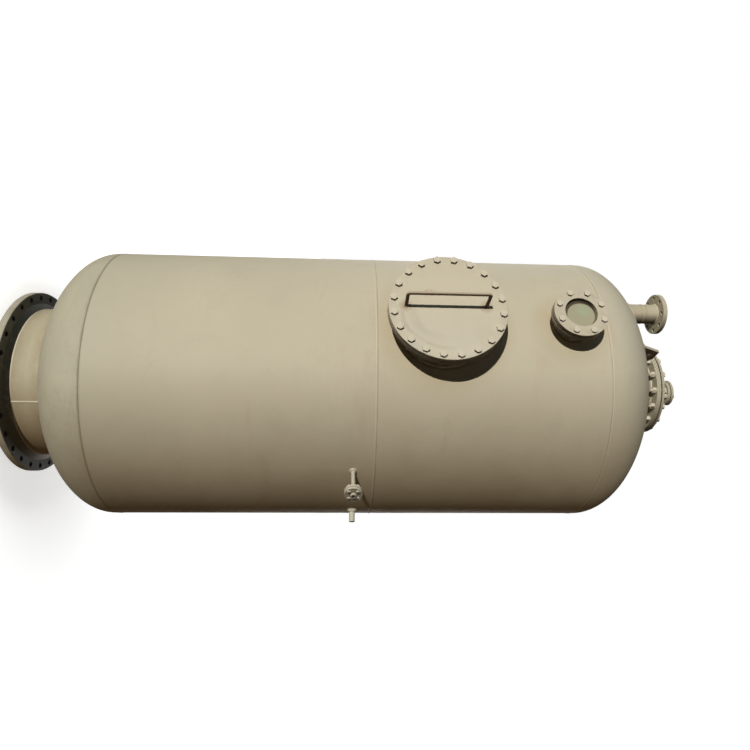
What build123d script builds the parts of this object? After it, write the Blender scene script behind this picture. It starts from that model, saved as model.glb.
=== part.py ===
# Deaerating column standing on its base flange. Millimetres, +Z up the vessel axis,
# z = 0 on the lower face of the base flange, -Y towards the manhole.
from build123d import *
import math
import os

os.makedirs("parts", exist_ok=True)

# Vessel body
shell_od = 1616.0
shell_wall = 8.0
head_flatness = 2.0
head_skirt = 25.0
bottom_seam_z = 585.0
middle_seam_z = 2093.0
top_seam_z = 3356.0
cut_reach = 100.0

# Base connection, nominal 900; the barrel and the drilling follow the flange
base_flange_od = 1115.0
base_flange_t = 40.0
base_edge = 32.5
base_hole_d = 33.0
base_hole_count = 28
base_hole_turn = 7.6
base_width = 100.5
base_hub_flare = 35.0
base_hub_rise = 26.0
base_rim_break = 3.0
barrel_wall = 12.0
barrel_inset = 20.0

# Manhole, nominal 450, facing -Y
manhole_rise = 356.0
manhole_projection = 142.0
man_flange_od = 615.0
man_flange_t = 28.0
man_width = 67.5
man_neck_wall = 10.0
man_edge = 25.0
man_hole_d = 26.0
man_hole_count = 20
man_gasket_margin = 17.5
gasket_t = 3.0
cover_t = 28.0
neck_setback = 8.0
neck_entry = 60.0
rim_break = 1.6

# Grab handle on the manhole cover
handle_bar_d = 18.0
handle_span = 413.0
handle_reach = 120.0
handle_bend = 16.0
handle_shift = 11.0

# Side nozzle, nominal 150, above the manhole on the same side
side_drop = 204.0
side_projection = 112.0
side_flange_od = 285.0
side_flange_t = 22.0
side_width = 58.35
side_neck_wall = 7.1
side_edge = 22.5
side_hole_d = 22.0
side_hole_count = 8
side_gasket_margin = 11.0
side_gasket_t = 2.0
side_blank_t = 6.0
side_ring_clearance = 1.35
side_neck_entry = 22.0

# Steam nozzle, nominal 100, upright on the top head
steam_inset = 195.0
steam_turn = 23.0
steam_flange_od = 235.0
steam_flange_t = 24.0
steam_width = 60.35
steam_pipe_wall = 6.3
steam_edge = 22.5
steam_hole_d = 22.0
steam_hole_count = 8
steam_hole_turn = 4.5
steam_face_rise = 14.0
steam_entry = 10.0

# Central opening, nominal 400, on top
top_flange_od = 565.0
top_flange_t = 28.0
top_width = 69.5
top_neck_wall = 9.0
top_edge = 25.0
top_hole_d = 26.0
top_hole_count = 16
top_hole_turn = 3.2
top_gasket_margin = 17.5
top_projection = 117.0
top_entry = 18.6
top_cover_t = 18.0

# Vent, nominal 50, on the central cover and a little to one side of its centre
vent_shift = 22.0
vent_flange_od = 165.0
vent_flange_t = 18.0
vent_width = 52.35
vent_pipe_wall = 4.0
vent_edge = 20.0
vent_hole_d = 18.0
vent_hole_count = 4
vent_gasket_margin = 9.0
vent_gasket_t = 2.0
vent_projection = 147.0

# Lifting lugs on the top head
lug_t = 16.0
lug_foot = 200.0
lug_top_width = 80.0
lug_inset = 308.0
lug_rise = 70.5
lug_eye_d = 40.0
lug_eye_drop = 45.0

# Gauge nozzle, nominal 15, low on the side
gauge_drop = 113.0
gauge_turn = 59.6
gauge_flange_od = 95.0
gauge_flange_t = 14.0
gauge_width = 36.85
gauge_pipe_wall = 2.6
gauge_boss_width = 7.35
gauge_boss_t = 10.0
gauge_edge = 15.0
gauge_hole_d = 14.0
gauge_hole_count = 4
gauge_gasket_margin = 10.0
gauge_gasket_t = 2.0
gauge_projection = 162.0
gauge_hub_bore = 18.6
gauge_hub_wall = 6.7
gauge_hub_rise = 14.0
small_break = 1.0

# Drain stub, nominal 25, beside it
drain_drop = 109.0
drain_turn = 90.0
drain_pipe_od = 33.7
drain_pipe_wall = 3.2
drain_boss_width = 8.65
drain_boss_t = 12.0
drain_projection = 72.0

# Sizes that follow from the ones above
manhole_z = middle_seam_z + manhole_rise
side_z = top_seam_z - side_drop
gauge_z = middle_seam_z - gauge_drop
drain_z = middle_seam_z - drain_drop
shell_r = shell_od / 2
shell_ir = shell_r - shell_wall
inner_depth = shell_ir / head_flatness
head_depth = inner_depth + shell_wall
bottom_tangent_z = bottom_seam_z - head_skirt
top_tangent_z = top_seam_z + head_skirt
crown_z = top_tangent_z + head_depth
barrel_r = base_flange_od / 2 - base_width
base_pcd = base_flange_od - 2 * base_edge
man_neck_r = man_flange_od / 2 - man_width
man_pcd = man_flange_od - 2 * man_edge
man_face_od = man_pcd - 2 * man_gasket_margin
man_face_y = shell_r + manhole_projection
side_neck_od = side_flange_od - 2 * side_width
side_pcd = side_flange_od - 2 * side_edge
side_gasket_od = side_pcd - 2 * side_gasket_margin
side_ring_bore = side_neck_od + 2 * side_ring_clearance
side_face_y = shell_r + side_projection
steam_pipe_od = steam_flange_od - 2 * steam_width
steam_pcd = steam_flange_od - 2 * steam_edge
steam_radius = shell_r - steam_inset
steam_face_z = crown_z + steam_face_rise
top_neck_r = top_flange_od / 2 - top_width
top_pcd = top_flange_od - 2 * top_edge
top_gasket_od = top_pcd - 2 * top_gasket_margin
top_face_z = crown_z + top_projection
vent_pipe_od = vent_flange_od - 2 * vent_width
vent_pcd = vent_flange_od - 2 * vent_edge
vent_gasket_od = vent_pcd - 2 * vent_gasket_margin
lug_radius = shell_r - lug_inset
gauge_pipe_od = gauge_flange_od - 2 * gauge_width
gauge_boss_od = gauge_pipe_od + 2 * gauge_boss_width
gauge_pcd = gauge_flange_od - 2 * gauge_edge
gauge_gasket_od = gauge_pcd - 2 * gauge_gasket_margin
gauge_face = shell_r + gauge_projection
gauge_hub_od = gauge_hub_bore + 2 * gauge_hub_wall
drain_boss_od = drain_pipe_od + 2 * drain_boss_width
drain_end = shell_r + drain_projection


def dome_rise(distance, radius, depth):
    """Height of a dished head's surface above its tangent line, at a distance from the vessel axis."""
    return depth * math.sqrt(1 - (distance / radius) ** 2)


def radial_plane(turn, z, reach):
    """Plane at a distance from the vessel axis, looking outwards; turn 0 is -Y, 90 is +X."""
    a = math.radians(turn - 90.0)
    direction = (math.cos(a), math.sin(a), 0)
    origin = (reach * direction[0], reach * direction[1], z)
    return Plane(origin=origin, x_dir=(0, 0, 1), z_dir=direction)


# Lower shell course, with the gauge and drain bosses set into it
with BuildPart() as lower_course:
    with BuildSketch(Plane.XY.offset(bottom_seam_z)):
        Circle(shell_r)
        Circle(shell_ir, mode=Mode.SUBTRACT)
    extrude(amount=middle_seam_z - bottom_seam_z)
    with BuildSketch(radial_plane(gauge_turn, gauge_z, shell_ir - cut_reach)):
        Circle(gauge_boss_od / 2)
    extrude(amount=2 * cut_reach, mode=Mode.SUBTRACT)
    with BuildSketch(radial_plane(drain_turn, drain_z, shell_ir - cut_reach)):
        Circle(drain_boss_od / 2)
    extrude(amount=2 * cut_reach, mode=Mode.SUBTRACT)

# Upper shell course, with the manhole and side nozzle openings
with BuildPart() as upper_course:
    with BuildSketch(Plane.XY.offset(middle_seam_z)):
        Circle(shell_r)
        Circle(shell_ir, mode=Mode.SUBTRACT)
    extrude(amount=top_seam_z - middle_seam_z)
    with BuildSketch(radial_plane(0, manhole_z, shell_ir - cut_reach)):
        Circle(man_neck_r)
    extrude(amount=2 * cut_reach, mode=Mode.SUBTRACT)
    with BuildSketch(radial_plane(0, side_z, shell_ir - cut_reach)):
        Circle(side_neck_od / 2)
    extrude(amount=2 * cut_reach, mode=Mode.SUBTRACT)

# Bottom dished head, open in the middle for the barrel
with BuildPart() as bottom_head:
    with BuildSketch(Plane.XZ):
        with BuildLine():
            l1 = EllipticalCenterArc((0, bottom_tangent_z), shell_r, head_depth, start_angle=270, arc_size=90)
            l2 = Line(l1 @ 1, (shell_r, bottom_seam_z))
            l3 = Line(l2 @ 1, (shell_ir, bottom_seam_z))
            l4 = Line(l3 @ 1, (shell_ir, bottom_tangent_z))
            l5 = EllipticalCenterArc((0, bottom_tangent_z), shell_ir, inner_depth, start_angle=270, arc_size=90)
            l6 = Line(l5 @ 0, l1 @ 0)
        make_face()
    revolve(axis=Axis.Z)
    with BuildSketch(Plane.XY):
        Circle(barrel_r)
    extrude(amount=bottom_seam_z, mode=Mode.SUBTRACT)

# Top dished head, with the steam nozzle and central openings
steam_a = math.radians(270.0 - steam_turn)
steam_x = steam_radius * math.cos(steam_a)
steam_y = steam_radius * math.sin(steam_a)
with BuildPart() as top_head:
    with BuildSketch(Plane.XZ):
        with BuildLine():
            t1 = EllipticalCenterArc((0, top_tangent_z), shell_r, head_depth, start_angle=0, arc_size=90)
            t2 = Line(t1 @ 0, (shell_r, top_seam_z))
            t3 = Line(t2 @ 1, (shell_ir, top_seam_z))
            t4 = Line(t3 @ 1, (shell_ir, top_tangent_z))
            t5 = EllipticalCenterArc((0, top_tangent_z), shell_ir, inner_depth, start_angle=0, arc_size=90)
            t6 = Line(t5 @ 1, t1 @ 1)
        make_face()
    revolve(axis=Axis.Z)
    with BuildSketch(Plane.XY.offset(top_seam_z)):
        Circle(top_neck_r)
        with Locations((steam_x, steam_y)):
            Circle(steam_pipe_od / 2)
    extrude(amount=head_skirt + head_depth + cut_reach, mode=Mode.SUBTRACT)

# Short base barrel between the bottom head and the base flange
barrel_foot_z = base_flange_t + base_hub_rise
barrel_top_z = bottom_tangent_z - dome_rise(barrel_r, shell_ir, inner_depth) + barrel_inset
with BuildPart() as base_barrel:
    with BuildSketch(Plane.XY.offset(barrel_foot_z)):
        Circle(barrel_r)
        Circle(barrel_r - barrel_wall, mode=Mode.SUBTRACT)
    extrude(amount=barrel_top_z - barrel_foot_z)

# Base flange with its short welding neck and bolt holes
with BuildPart() as base_flange:
    with BuildSketch(Plane.XZ):
        with BuildLine():
            Polyline(
                (barrel_r - barrel_wall, 0),
                (base_flange_od / 2 - base_rim_break, 0),
                (base_flange_od / 2, base_rim_break),
                (base_flange_od / 2, base_flange_t - base_rim_break),
                (base_flange_od / 2 - base_rim_break, base_flange_t),
                (barrel_r + base_hub_flare, base_flange_t),
                (barrel_r, barrel_foot_z),
                (barrel_r - barrel_wall, barrel_foot_z),
                close=True,
            )
        make_face()
    revolve(axis=Axis.Z)
    with BuildSketch(Plane.XY):
        with PolarLocations(base_pcd / 2, base_hole_count, start_angle=base_hole_turn):
            Circle(base_hole_d / 2)
    extrude(amount=base_flange_t, mode=Mode.SUBTRACT)

# Manhole neck, flange, gasket and blind cover
man_axis = radial_plane(0, manhole_z, 0)
with BuildPart() as manhole_neck:
    with BuildSketch(man_axis.offset(shell_r - neck_entry)):
        Circle(man_neck_r)
        Circle(man_neck_r - man_neck_wall, mode=Mode.SUBTRACT)
    extrude(amount=man_face_y - neck_setback - shell_r + neck_entry)

with BuildPart() as manhole_flange:
    with BuildSketch(man_axis.offset(man_face_y - man_flange_t)):
        Circle(man_flange_od / 2)
        Circle(man_neck_r, mode=Mode.SUBTRACT)
        with PolarLocations(man_pcd / 2, man_hole_count, start_angle=180 / man_hole_count):
            Circle(man_hole_d / 2, mode=Mode.SUBTRACT)
    extrude(amount=man_flange_t)
    chamfer(manhole_flange.edges().filter_by(GeomType.CIRCLE).sort_by(SortBy.RADIUS)[-2:], length=rim_break)

with BuildPart() as manhole_gasket:
    with BuildSketch(man_axis.offset(man_face_y)):
        Circle(man_face_od / 2)
        Circle(man_neck_r, mode=Mode.SUBTRACT)
    extrude(amount=gasket_t)

cover_face_y = man_face_y + gasket_t
with BuildPart() as manhole_cover:
    with BuildSketch(man_axis.offset(cover_face_y)):
        Circle(man_flange_od / 2)
        with PolarLocations(man_pcd / 2, man_hole_count, start_angle=180 / man_hole_count):
            Circle(man_hole_d / 2, mode=Mode.SUBTRACT)
    extrude(amount=cover_t)
    chamfer(manhole_cover.edges().filter_by(GeomType.CIRCLE).sort_by(SortBy.RADIUS)[-2:], length=rim_break)

# Bent bar handle welded to the cover
cover_outer_y = cover_face_y + cover_t
handle_plane = Plane(origin=(0, -cover_outer_y, manhole_z - handle_shift), x_dir=(0, 0, 1), z_dir=(1, 0, 0))
with BuildPart() as manhole_handle:
    with BuildLine(handle_plane) as handle_path:
        FilletPolyline(
            (-handle_span / 2, 0),
            (-handle_span / 2, handle_reach - handle_bar_d / 2),
            (handle_span / 2, handle_reach - handle_bar_d / 2),
            (handle_span / 2, 0),
            radius=handle_bend,
        )
    with BuildSketch(Plane(origin=handle_path.line @ 0, z_dir=handle_path.line % 0)):
        Circle(handle_bar_d / 2)
    sweep(path=handle_path.line)

# Side nozzle neck and flange, closed by a blank plate under a bolted ring
side_axis = radial_plane(0, side_z, 0)
with BuildPart() as side_neck:
    with BuildSketch(side_axis.offset(shell_r - side_neck_entry)):
        Circle(side_neck_od / 2)
        Circle(side_neck_od / 2 - side_neck_wall, mode=Mode.SUBTRACT)
    extrude(amount=side_face_y - neck_setback / 2 - shell_r + side_neck_entry)

with BuildPart() as side_flange:
    with BuildSketch(side_axis.offset(side_face_y - side_flange_t)):
        Circle(side_flange_od / 2)
        Circle(side_neck_od / 2, mode=Mode.SUBTRACT)
        with PolarLocations(side_pcd / 2, side_hole_count, start_angle=180 / side_hole_count):
            Circle(side_hole_d / 2, mode=Mode.SUBTRACT)
    extrude(amount=side_flange_t)
    chamfer(side_flange.edges().filter_by(GeomType.CIRCLE).sort_by(SortBy.RADIUS)[-2:], length=rim_break)

with BuildPart() as side_inner_gasket:
    with BuildSketch(side_axis.offset(side_face_y)):
        Circle(side_gasket_od / 2)
        Circle(side_neck_od / 2, mode=Mode.SUBTRACT)
    extrude(amount=side_gasket_t)

side_blank_y = side_face_y + side_gasket_t
with BuildPart() as side_blank:
    with BuildSketch(side_axis.offset(side_blank_y)):
        Circle(side_flange_od / 2)
        with PolarLocations(side_pcd / 2, side_hole_count, start_angle=180 / side_hole_count):
            Circle(side_hole_d / 2, mode=Mode.SUBTRACT)
    extrude(amount=side_blank_t)

side_outer_y = side_blank_y + side_blank_t
with BuildPart() as side_outer_gasket:
    with BuildSketch(side_axis.offset(side_outer_y)):
        Circle(side_gasket_od / 2)
        Circle(side_ring_bore / 2, mode=Mode.SUBTRACT)
    extrude(amount=side_gasket_t)

side_ring_y = side_outer_y + side_gasket_t
with BuildPart() as side_ring:
    with BuildSketch(side_axis.offset(side_ring_y)):
        Circle(side_flange_od / 2)
        Circle(side_ring_bore / 2, mode=Mode.SUBTRACT)
        with PolarLocations(side_pcd / 2, side_hole_count, start_angle=180 / side_hole_count):
            Circle(side_hole_d / 2, mode=Mode.SUBTRACT)
    extrude(amount=side_flange_t)
    chamfer(side_ring.edges().filter_by(GeomType.CIRCLE).sort_by(SortBy.RADIUS)[-2:], length=rim_break)

# Steam nozzle, an open flanged pipe standing on the top head
steam_foot_z = top_tangent_z + dome_rise(steam_radius + steam_pipe_od / 2, shell_ir, inner_depth) - steam_entry
with BuildPart() as steam_pipe:
    with BuildSketch(Plane.XY.offset(steam_foot_z)):
        with Locations((steam_x, steam_y)):
            Circle(steam_pipe_od / 2)
            Circle(steam_pipe_od / 2 - steam_pipe_wall, mode=Mode.SUBTRACT)
    extrude(amount=steam_face_z - steam_foot_z)

with BuildPart() as steam_flange:
    with BuildSketch(Plane.XY.offset(steam_face_z - steam_flange_t)):
        with Locations((steam_x, steam_y)):
            Circle(steam_flange_od / 2)
            Circle(steam_pipe_od / 2, mode=Mode.SUBTRACT)
            with PolarLocations(steam_pcd / 2, steam_hole_count, start_angle=180 / steam_hole_count + steam_hole_turn):
                Circle(steam_hole_d / 2, mode=Mode.SUBTRACT)
    extrude(amount=steam_flange_t)
    chamfer(steam_flange.edges().filter_by(GeomType.CIRCLE).sort_by(SortBy.RADIUS)[-2:], length=rim_break)

# Central opening: neck, flange, gasket and blind cover
top_foot_z = top_tangent_z + dome_rise(top_neck_r, shell_ir, inner_depth) - top_entry
with BuildPart() as top_neck:
    with BuildSketch(Plane.XY.offset(top_foot_z)):
        Circle(top_neck_r)
        Circle(top_neck_r - top_neck_wall, mode=Mode.SUBTRACT)
    extrude(amount=top_face_z - neck_setback - top_foot_z)

with BuildPart() as top_flange:
    with BuildSketch(Plane.XY.offset(top_face_z - top_flange_t)):
        Circle(top_flange_od / 2)
        Circle(top_neck_r, mode=Mode.SUBTRACT)
        with PolarLocations(top_pcd / 2, top_hole_count, start_angle=top_hole_turn):
            Circle(top_hole_d / 2, mode=Mode.SUBTRACT)
    extrude(amount=top_flange_t)
    chamfer(top_flange.edges().filter_by(GeomType.CIRCLE).sort_by(SortBy.RADIUS)[-2:], length=rim_break)

with BuildPart() as top_gasket:
    with BuildSketch(Plane.XY.offset(top_face_z)):
        Circle(top_gasket_od / 2)
        Circle(top_neck_r, mode=Mode.SUBTRACT)
    extrude(amount=gasket_t)

top_cover_z = top_face_z + gasket_t
with BuildPart() as top_cover:
    with BuildSketch(Plane.XY.offset(top_cover_z)):
        Circle(top_flange_od / 2)
        with Locations((vent_shift, 0)):
            Circle(vent_pipe_od / 2, mode=Mode.SUBTRACT)
        with PolarLocations(top_pcd / 2, top_hole_count, start_angle=top_hole_turn):
            Circle(top_hole_d / 2, mode=Mode.SUBTRACT)
    extrude(amount=top_cover_t)
    chamfer(top_cover.edges().filter_by(GeomType.CIRCLE).sort_by(SortBy.RADIUS)[-2:], length=rim_break)

# Vent nozzle through the cover, closed by a blank flange
vent_face_z = top_cover_z + top_cover_t + vent_projection
vent_axis = Plane(origin=(vent_shift, 0, 0))
with BuildPart() as vent_pipe:
    with BuildSketch(vent_axis.offset(top_cover_z)):
        Circle(vent_pipe_od / 2)
        Circle(vent_pipe_od / 2 - vent_pipe_wall, mode=Mode.SUBTRACT)
    extrude(amount=vent_face_z - vent_gasket_t - top_cover_z)

with BuildPart() as vent_flange:
    with BuildSketch(vent_axis.offset(vent_face_z - vent_flange_t)):
        Circle(vent_flange_od / 2)
        Circle(vent_pipe_od / 2, mode=Mode.SUBTRACT)
        with PolarLocations(vent_pcd / 2, vent_hole_count, start_angle=180 / vent_hole_count):
            Circle(vent_hole_d / 2, mode=Mode.SUBTRACT)
    extrude(amount=vent_flange_t)
    chamfer(vent_flange.edges().filter_by(GeomType.CIRCLE).sort_by(SortBy.RADIUS)[-2:], length=rim_break)

with BuildPart() as vent_gasket:
    with BuildSketch(vent_axis.offset(vent_face_z)):
        Circle(vent_gasket_od / 2)
        Circle(vent_pipe_od / 2, mode=Mode.SUBTRACT)
    extrude(amount=vent_gasket_t)

with BuildPart() as vent_blank:
    with BuildSketch(vent_axis.offset(vent_face_z + vent_gasket_t)):
        Circle(vent_flange_od / 2)
        with PolarLocations(vent_pcd / 2, vent_hole_count, start_angle=180 / vent_hole_count):
            Circle(vent_hole_d / 2, mode=Mode.SUBTRACT)
    extrude(amount=vent_flange_t)
    chamfer(vent_blank.edges().filter_by(GeomType.CIRCLE).sort_by(SortBy.RADIUS)[-2:], length=rim_break)

# Two lifting lugs, cut to sit on the curve of the top head
lug_top_z = top_tangent_z + dome_rise(lug_radius, shell_r, head_depth) + lug_rise
lug_outer_z = top_tangent_z + dome_rise(lug_radius + lug_foot / 2, shell_r, head_depth)
lug_inner_z = top_tangent_z + dome_rise(lug_radius - lug_foot / 2, shell_r, head_depth)
with BuildPart() as lifting_lugs:
    with BuildSketch(Plane.YZ.offset(-lug_t / 2)):
        with BuildLine():
            Polyline(
                (-lug_radius - lug_foot / 2, top_tangent_z),
                (-lug_radius - lug_foot / 2, lug_outer_z),
                (-lug_radius - lug_top_width / 2, lug_top_z),
                (-lug_radius + lug_top_width / 2, lug_top_z),
                (-lug_radius + lug_foot / 2, lug_inner_z),
                (-lug_radius + lug_foot / 2, top_tangent_z),
                close=True,
            )
        make_face()
        with Locations((-lug_radius, lug_top_z - lug_eye_drop)):
            Circle(lug_eye_d / 2, mode=Mode.SUBTRACT)
    extrude(amount=lug_t)
    mirror(about=Plane.XZ)
    with BuildSketch(Plane.XZ):
        with BuildLine():
            c1 = EllipticalCenterArc((0, top_tangent_z), shell_r, head_depth, start_angle=0, arc_size=90)
            c2 = Line(c1 @ 1, (0, top_seam_z))
            c3 = Line(c2 @ 1, (shell_r, top_seam_z))
            c4 = Line(c3 @ 1, c1 @ 0)
        make_face()
    revolve(axis=Axis.Z, mode=Mode.SUBTRACT)

# Gauge nozzle low on the side: boss, neck, flange, gasket and a ring with a small open hub
gauge_axis = radial_plane(gauge_turn, gauge_z, 0)
boss_root = shell_ir
with BuildPart() as gauge_boss:
    with BuildSketch(gauge_axis.offset(boss_root)):
        Circle(gauge_boss_od / 2)
        Circle(gauge_pipe_od / 2, mode=Mode.SUBTRACT)
    extrude(amount=shell_wall + gauge_boss_t)

with BuildPart() as gauge_neck:
    with BuildSketch(gauge_axis.offset(boss_root)):
        Circle(gauge_pipe_od / 2)
        Circle(gauge_pipe_od / 2 - gauge_pipe_wall, mode=Mode.SUBTRACT)
    extrude(amount=gauge_face - boss_root)

with BuildPart() as gauge_flange:
    with BuildSketch(gauge_axis.offset(gauge_face - gauge_flange_t)):
        Circle(gauge_flange_od / 2)
        Circle(gauge_pipe_od / 2, mode=Mode.SUBTRACT)
        with PolarLocations(gauge_pcd / 2, gauge_hole_count, start_angle=180 / gauge_hole_count):
            Circle(gauge_hole_d / 2, mode=Mode.SUBTRACT)
    extrude(amount=gauge_flange_t)
    chamfer(gauge_flange.edges().filter_by(GeomType.CIRCLE).sort_by(SortBy.RADIUS)[-2:], length=small_break)

with BuildPart() as gauge_gasket:
    with BuildSketch(gauge_axis.offset(gauge_face)):
        Circle(gauge_gasket_od / 2)
        Circle(gauge_pipe_od / 2, mode=Mode.SUBTRACT)
    extrude(amount=gauge_gasket_t)

gauge_ring_y = gauge_face + gauge_gasket_t
with BuildPart() as gauge_ring:
    with BuildSketch(gauge_axis.offset(gauge_ring_y)):
        Circle(gauge_flange_od / 2)
        with PolarLocations(gauge_pcd / 2, gauge_hole_count, start_angle=180 / gauge_hole_count):
            Circle(gauge_hole_d / 2, mode=Mode.SUBTRACT)
    extrude(amount=gauge_flange_t)
    chamfer(gauge_ring.edges().filter_by(GeomType.CIRCLE).sort_by(SortBy.RADIUS)[-2:], length=small_break)
    with BuildSketch(gauge_axis.offset(gauge_ring_y + gauge_flange_t)):
        Circle(gauge_hub_od / 2)
    extrude(amount=gauge_hub_rise)
    with BuildSketch(gauge_axis.offset(gauge_ring_y)):
        Circle(gauge_hub_bore / 2)
    extrude(amount=gauge_flange_t + gauge_hub_rise, mode=Mode.SUBTRACT)

# Drain stub: a boss and a short plain pipe
drain_axis = radial_plane(drain_turn, drain_z, 0)
with BuildPart() as drain_boss:
    with BuildSketch(drain_axis.offset(boss_root)):
        Circle(drain_boss_od / 2)
        Circle(drain_pipe_od / 2, mode=Mode.SUBTRACT)
    extrude(amount=shell_wall + drain_boss_t)

with BuildPart() as drain_pipe:
    with BuildSketch(drain_axis.offset(boss_root)):
        Circle(drain_pipe_od / 2)
        Circle(drain_pipe_od / 2 - drain_pipe_wall, mode=Mode.SUBTRACT)
    extrude(amount=drain_end - boss_root)

# Every piece is written under its own name
lower_course.part.label = "lower_course"
export_step(lower_course.part, "parts/lower_course.step")
upper_course.part.label = "upper_course"
export_step(upper_course.part, "parts/upper_course.step")
bottom_head.part.label = "bottom_head"
export_step(bottom_head.part, "parts/bottom_head.step")
top_head.part.label = "top_head"
export_step(top_head.part, "parts/top_head.step")
base_barrel.part.label = "base_barrel"
export_step(base_barrel.part, "parts/base_barrel.step")
base_flange.part.label = "base_flange"
export_step(base_flange.part, "parts/base_flange.step")
manhole_neck.part.label = "manhole_neck"
export_step(manhole_neck.part, "parts/manhole_neck.step")
manhole_flange.part.label = "manhole_flange"
export_step(manhole_flange.part, "parts/manhole_flange.step")
manhole_gasket.part.label = "manhole_gasket"
export_step(manhole_gasket.part, "parts/manhole_gasket.step")
manhole_cover.part.label = "manhole_cover"
export_step(manhole_cover.part, "parts/manhole_cover.step")
manhole_handle.part.label = "manhole_handle"
export_step(manhole_handle.part, "parts/manhole_handle.step")
side_neck.part.label = "side_neck"
export_step(side_neck.part, "parts/side_neck.step")
side_flange.part.label = "side_flange"
export_step(side_flange.part, "parts/side_flange.step")
side_inner_gasket.part.label = "side_inner_gasket"
export_step(side_inner_gasket.part, "parts/side_inner_gasket.step")
side_blank.part.label = "side_blank"
export_step(side_blank.part, "parts/side_blank.step")
side_outer_gasket.part.label = "side_outer_gasket"
export_step(side_outer_gasket.part, "parts/side_outer_gasket.step")
side_ring.part.label = "side_ring"
export_step(side_ring.part, "parts/side_ring.step")
steam_pipe.part.label = "steam_pipe"
export_step(steam_pipe.part, "parts/steam_pipe.step")
steam_flange.part.label = "steam_flange"
export_step(steam_flange.part, "parts/steam_flange.step")
top_neck.part.label = "top_neck"
export_step(top_neck.part, "parts/top_neck.step")
top_flange.part.label = "top_flange"
export_step(top_flange.part, "parts/top_flange.step")
top_gasket.part.label = "top_gasket"
export_step(top_gasket.part, "parts/top_gasket.step")
top_cover.part.label = "top_cover"
export_step(top_cover.part, "parts/top_cover.step")
vent_pipe.part.label = "vent_pipe"
export_step(vent_pipe.part, "parts/vent_pipe.step")
vent_flange.part.label = "vent_flange"
export_step(vent_flange.part, "parts/vent_flange.step")
vent_gasket.part.label = "vent_gasket"
export_step(vent_gasket.part, "parts/vent_gasket.step")
vent_blank.part.label = "vent_blank"
export_step(vent_blank.part, "parts/vent_blank.step")
lifting_lugs.part.label = "lifting_lugs"
export_step(lifting_lugs.part, "parts/lifting_lugs.step")
gauge_boss.part.label = "gauge_boss"
export_step(gauge_boss.part, "parts/gauge_boss.step")
gauge_neck.part.label = "gauge_neck"
export_step(gauge_neck.part, "parts/gauge_neck.step")
gauge_flange.part.label = "gauge_flange"
export_step(gauge_flange.part, "parts/gauge_flange.step")
gauge_gasket.part.label = "gauge_gasket"
export_step(gauge_gasket.part, "parts/gauge_gasket.step")
gauge_ring.part.label = "gauge_ring"
export_step(gauge_ring.part, "parts/gauge_ring.step")
drain_boss.part.label = "drain_boss"
export_step(drain_boss.part, "parts/drain_boss.step")
drain_pipe.part.label = "drain_pipe"
export_step(drain_pipe.part, "parts/drain_pipe.step")
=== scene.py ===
# Deaerating column dressed for the render: weld beads, bolts, paint, floor, lamps and camera.
import bpy
import math
import random
from mathutils import Matrix, Vector


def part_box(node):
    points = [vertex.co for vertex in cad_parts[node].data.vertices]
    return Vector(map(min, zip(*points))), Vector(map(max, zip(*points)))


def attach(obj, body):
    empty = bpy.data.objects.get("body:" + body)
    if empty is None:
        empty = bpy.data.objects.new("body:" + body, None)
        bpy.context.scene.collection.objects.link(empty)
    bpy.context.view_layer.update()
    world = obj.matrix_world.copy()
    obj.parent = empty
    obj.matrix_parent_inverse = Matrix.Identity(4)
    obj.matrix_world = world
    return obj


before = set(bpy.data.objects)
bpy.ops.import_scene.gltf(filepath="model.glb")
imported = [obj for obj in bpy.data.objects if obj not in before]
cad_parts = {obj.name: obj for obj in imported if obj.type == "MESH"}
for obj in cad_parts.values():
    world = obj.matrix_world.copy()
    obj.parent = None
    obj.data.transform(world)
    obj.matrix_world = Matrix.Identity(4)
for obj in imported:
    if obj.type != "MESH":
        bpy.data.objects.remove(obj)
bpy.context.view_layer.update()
random.seed(7)
print("stage: frame loaded,", len(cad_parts), "nodes")


def middleOf(name):
    low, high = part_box(name)
    return (low + high) / 2


def halfHeight(name):
    low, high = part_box(name)
    return (high.z - low.z) / 2


# Directions, then the places of the solids, read from the frame
up = Vector((0, 0, 1))
front = Vector((0, -1, 0))
drainWay = Vector((1, 0, 0))
axisFoot = Vector((0, 0, 0))
shellLow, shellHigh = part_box("lower_course")
shellRadius = shellHigh.x
bottomSeam, middleSeam, topSeam = shellLow.z, shellHigh.z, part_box("upper_course")[1].z
manLow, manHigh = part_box("manhole_neck")
manMiddle = middleOf("manhole_neck")
manRadius = (manHigh.x - manLow.x) / 2
manFlangeLow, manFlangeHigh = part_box("manhole_flange")
coverLow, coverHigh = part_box("manhole_cover")
handleLow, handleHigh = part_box("manhole_handle")
handleX = (handleLow.x + handleHigh.x) / 2
barRadius = 0.009
sideLow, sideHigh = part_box("side_neck")
sideMiddle = middleOf("side_neck")
sideRadius = (sideHigh.x - sideLow.x) / 2
sideFlangeLow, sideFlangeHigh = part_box("side_flange")
sideRingLow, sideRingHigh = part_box("side_ring")
steamLow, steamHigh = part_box("steam_pipe")
steamMiddle = middleOf("steam_pipe")
steamRadius = (steamHigh.x - steamLow.x) / 2
steamWeldAt = steamLow.z + 0.107
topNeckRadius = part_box("top_neck")[1].y
topFlangeLow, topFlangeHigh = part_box("top_flange")
topCoverLow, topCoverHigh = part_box("top_cover")
ventLow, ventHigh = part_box("vent_pipe")
ventAt = Vector(((ventLow.x + ventHigh.x) / 2, 0, 0))
ventFlangeLow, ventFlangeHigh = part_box("vent_flange")
ventBlankLow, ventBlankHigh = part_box("vent_blank")
gaugeMiddle = middleOf("gauge_neck")
gaugeWay = Vector((gaugeMiddle.x, gaugeMiddle.y, 0)).normalized()
gaugeReach = {"boss": 0.818, "back": 0.956, "joint": 0.971, "front": 0.986}  # faces, from the column's axis
drainMiddle = middleOf("drain_boss")
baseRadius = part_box("base_flange")[1].x
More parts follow.
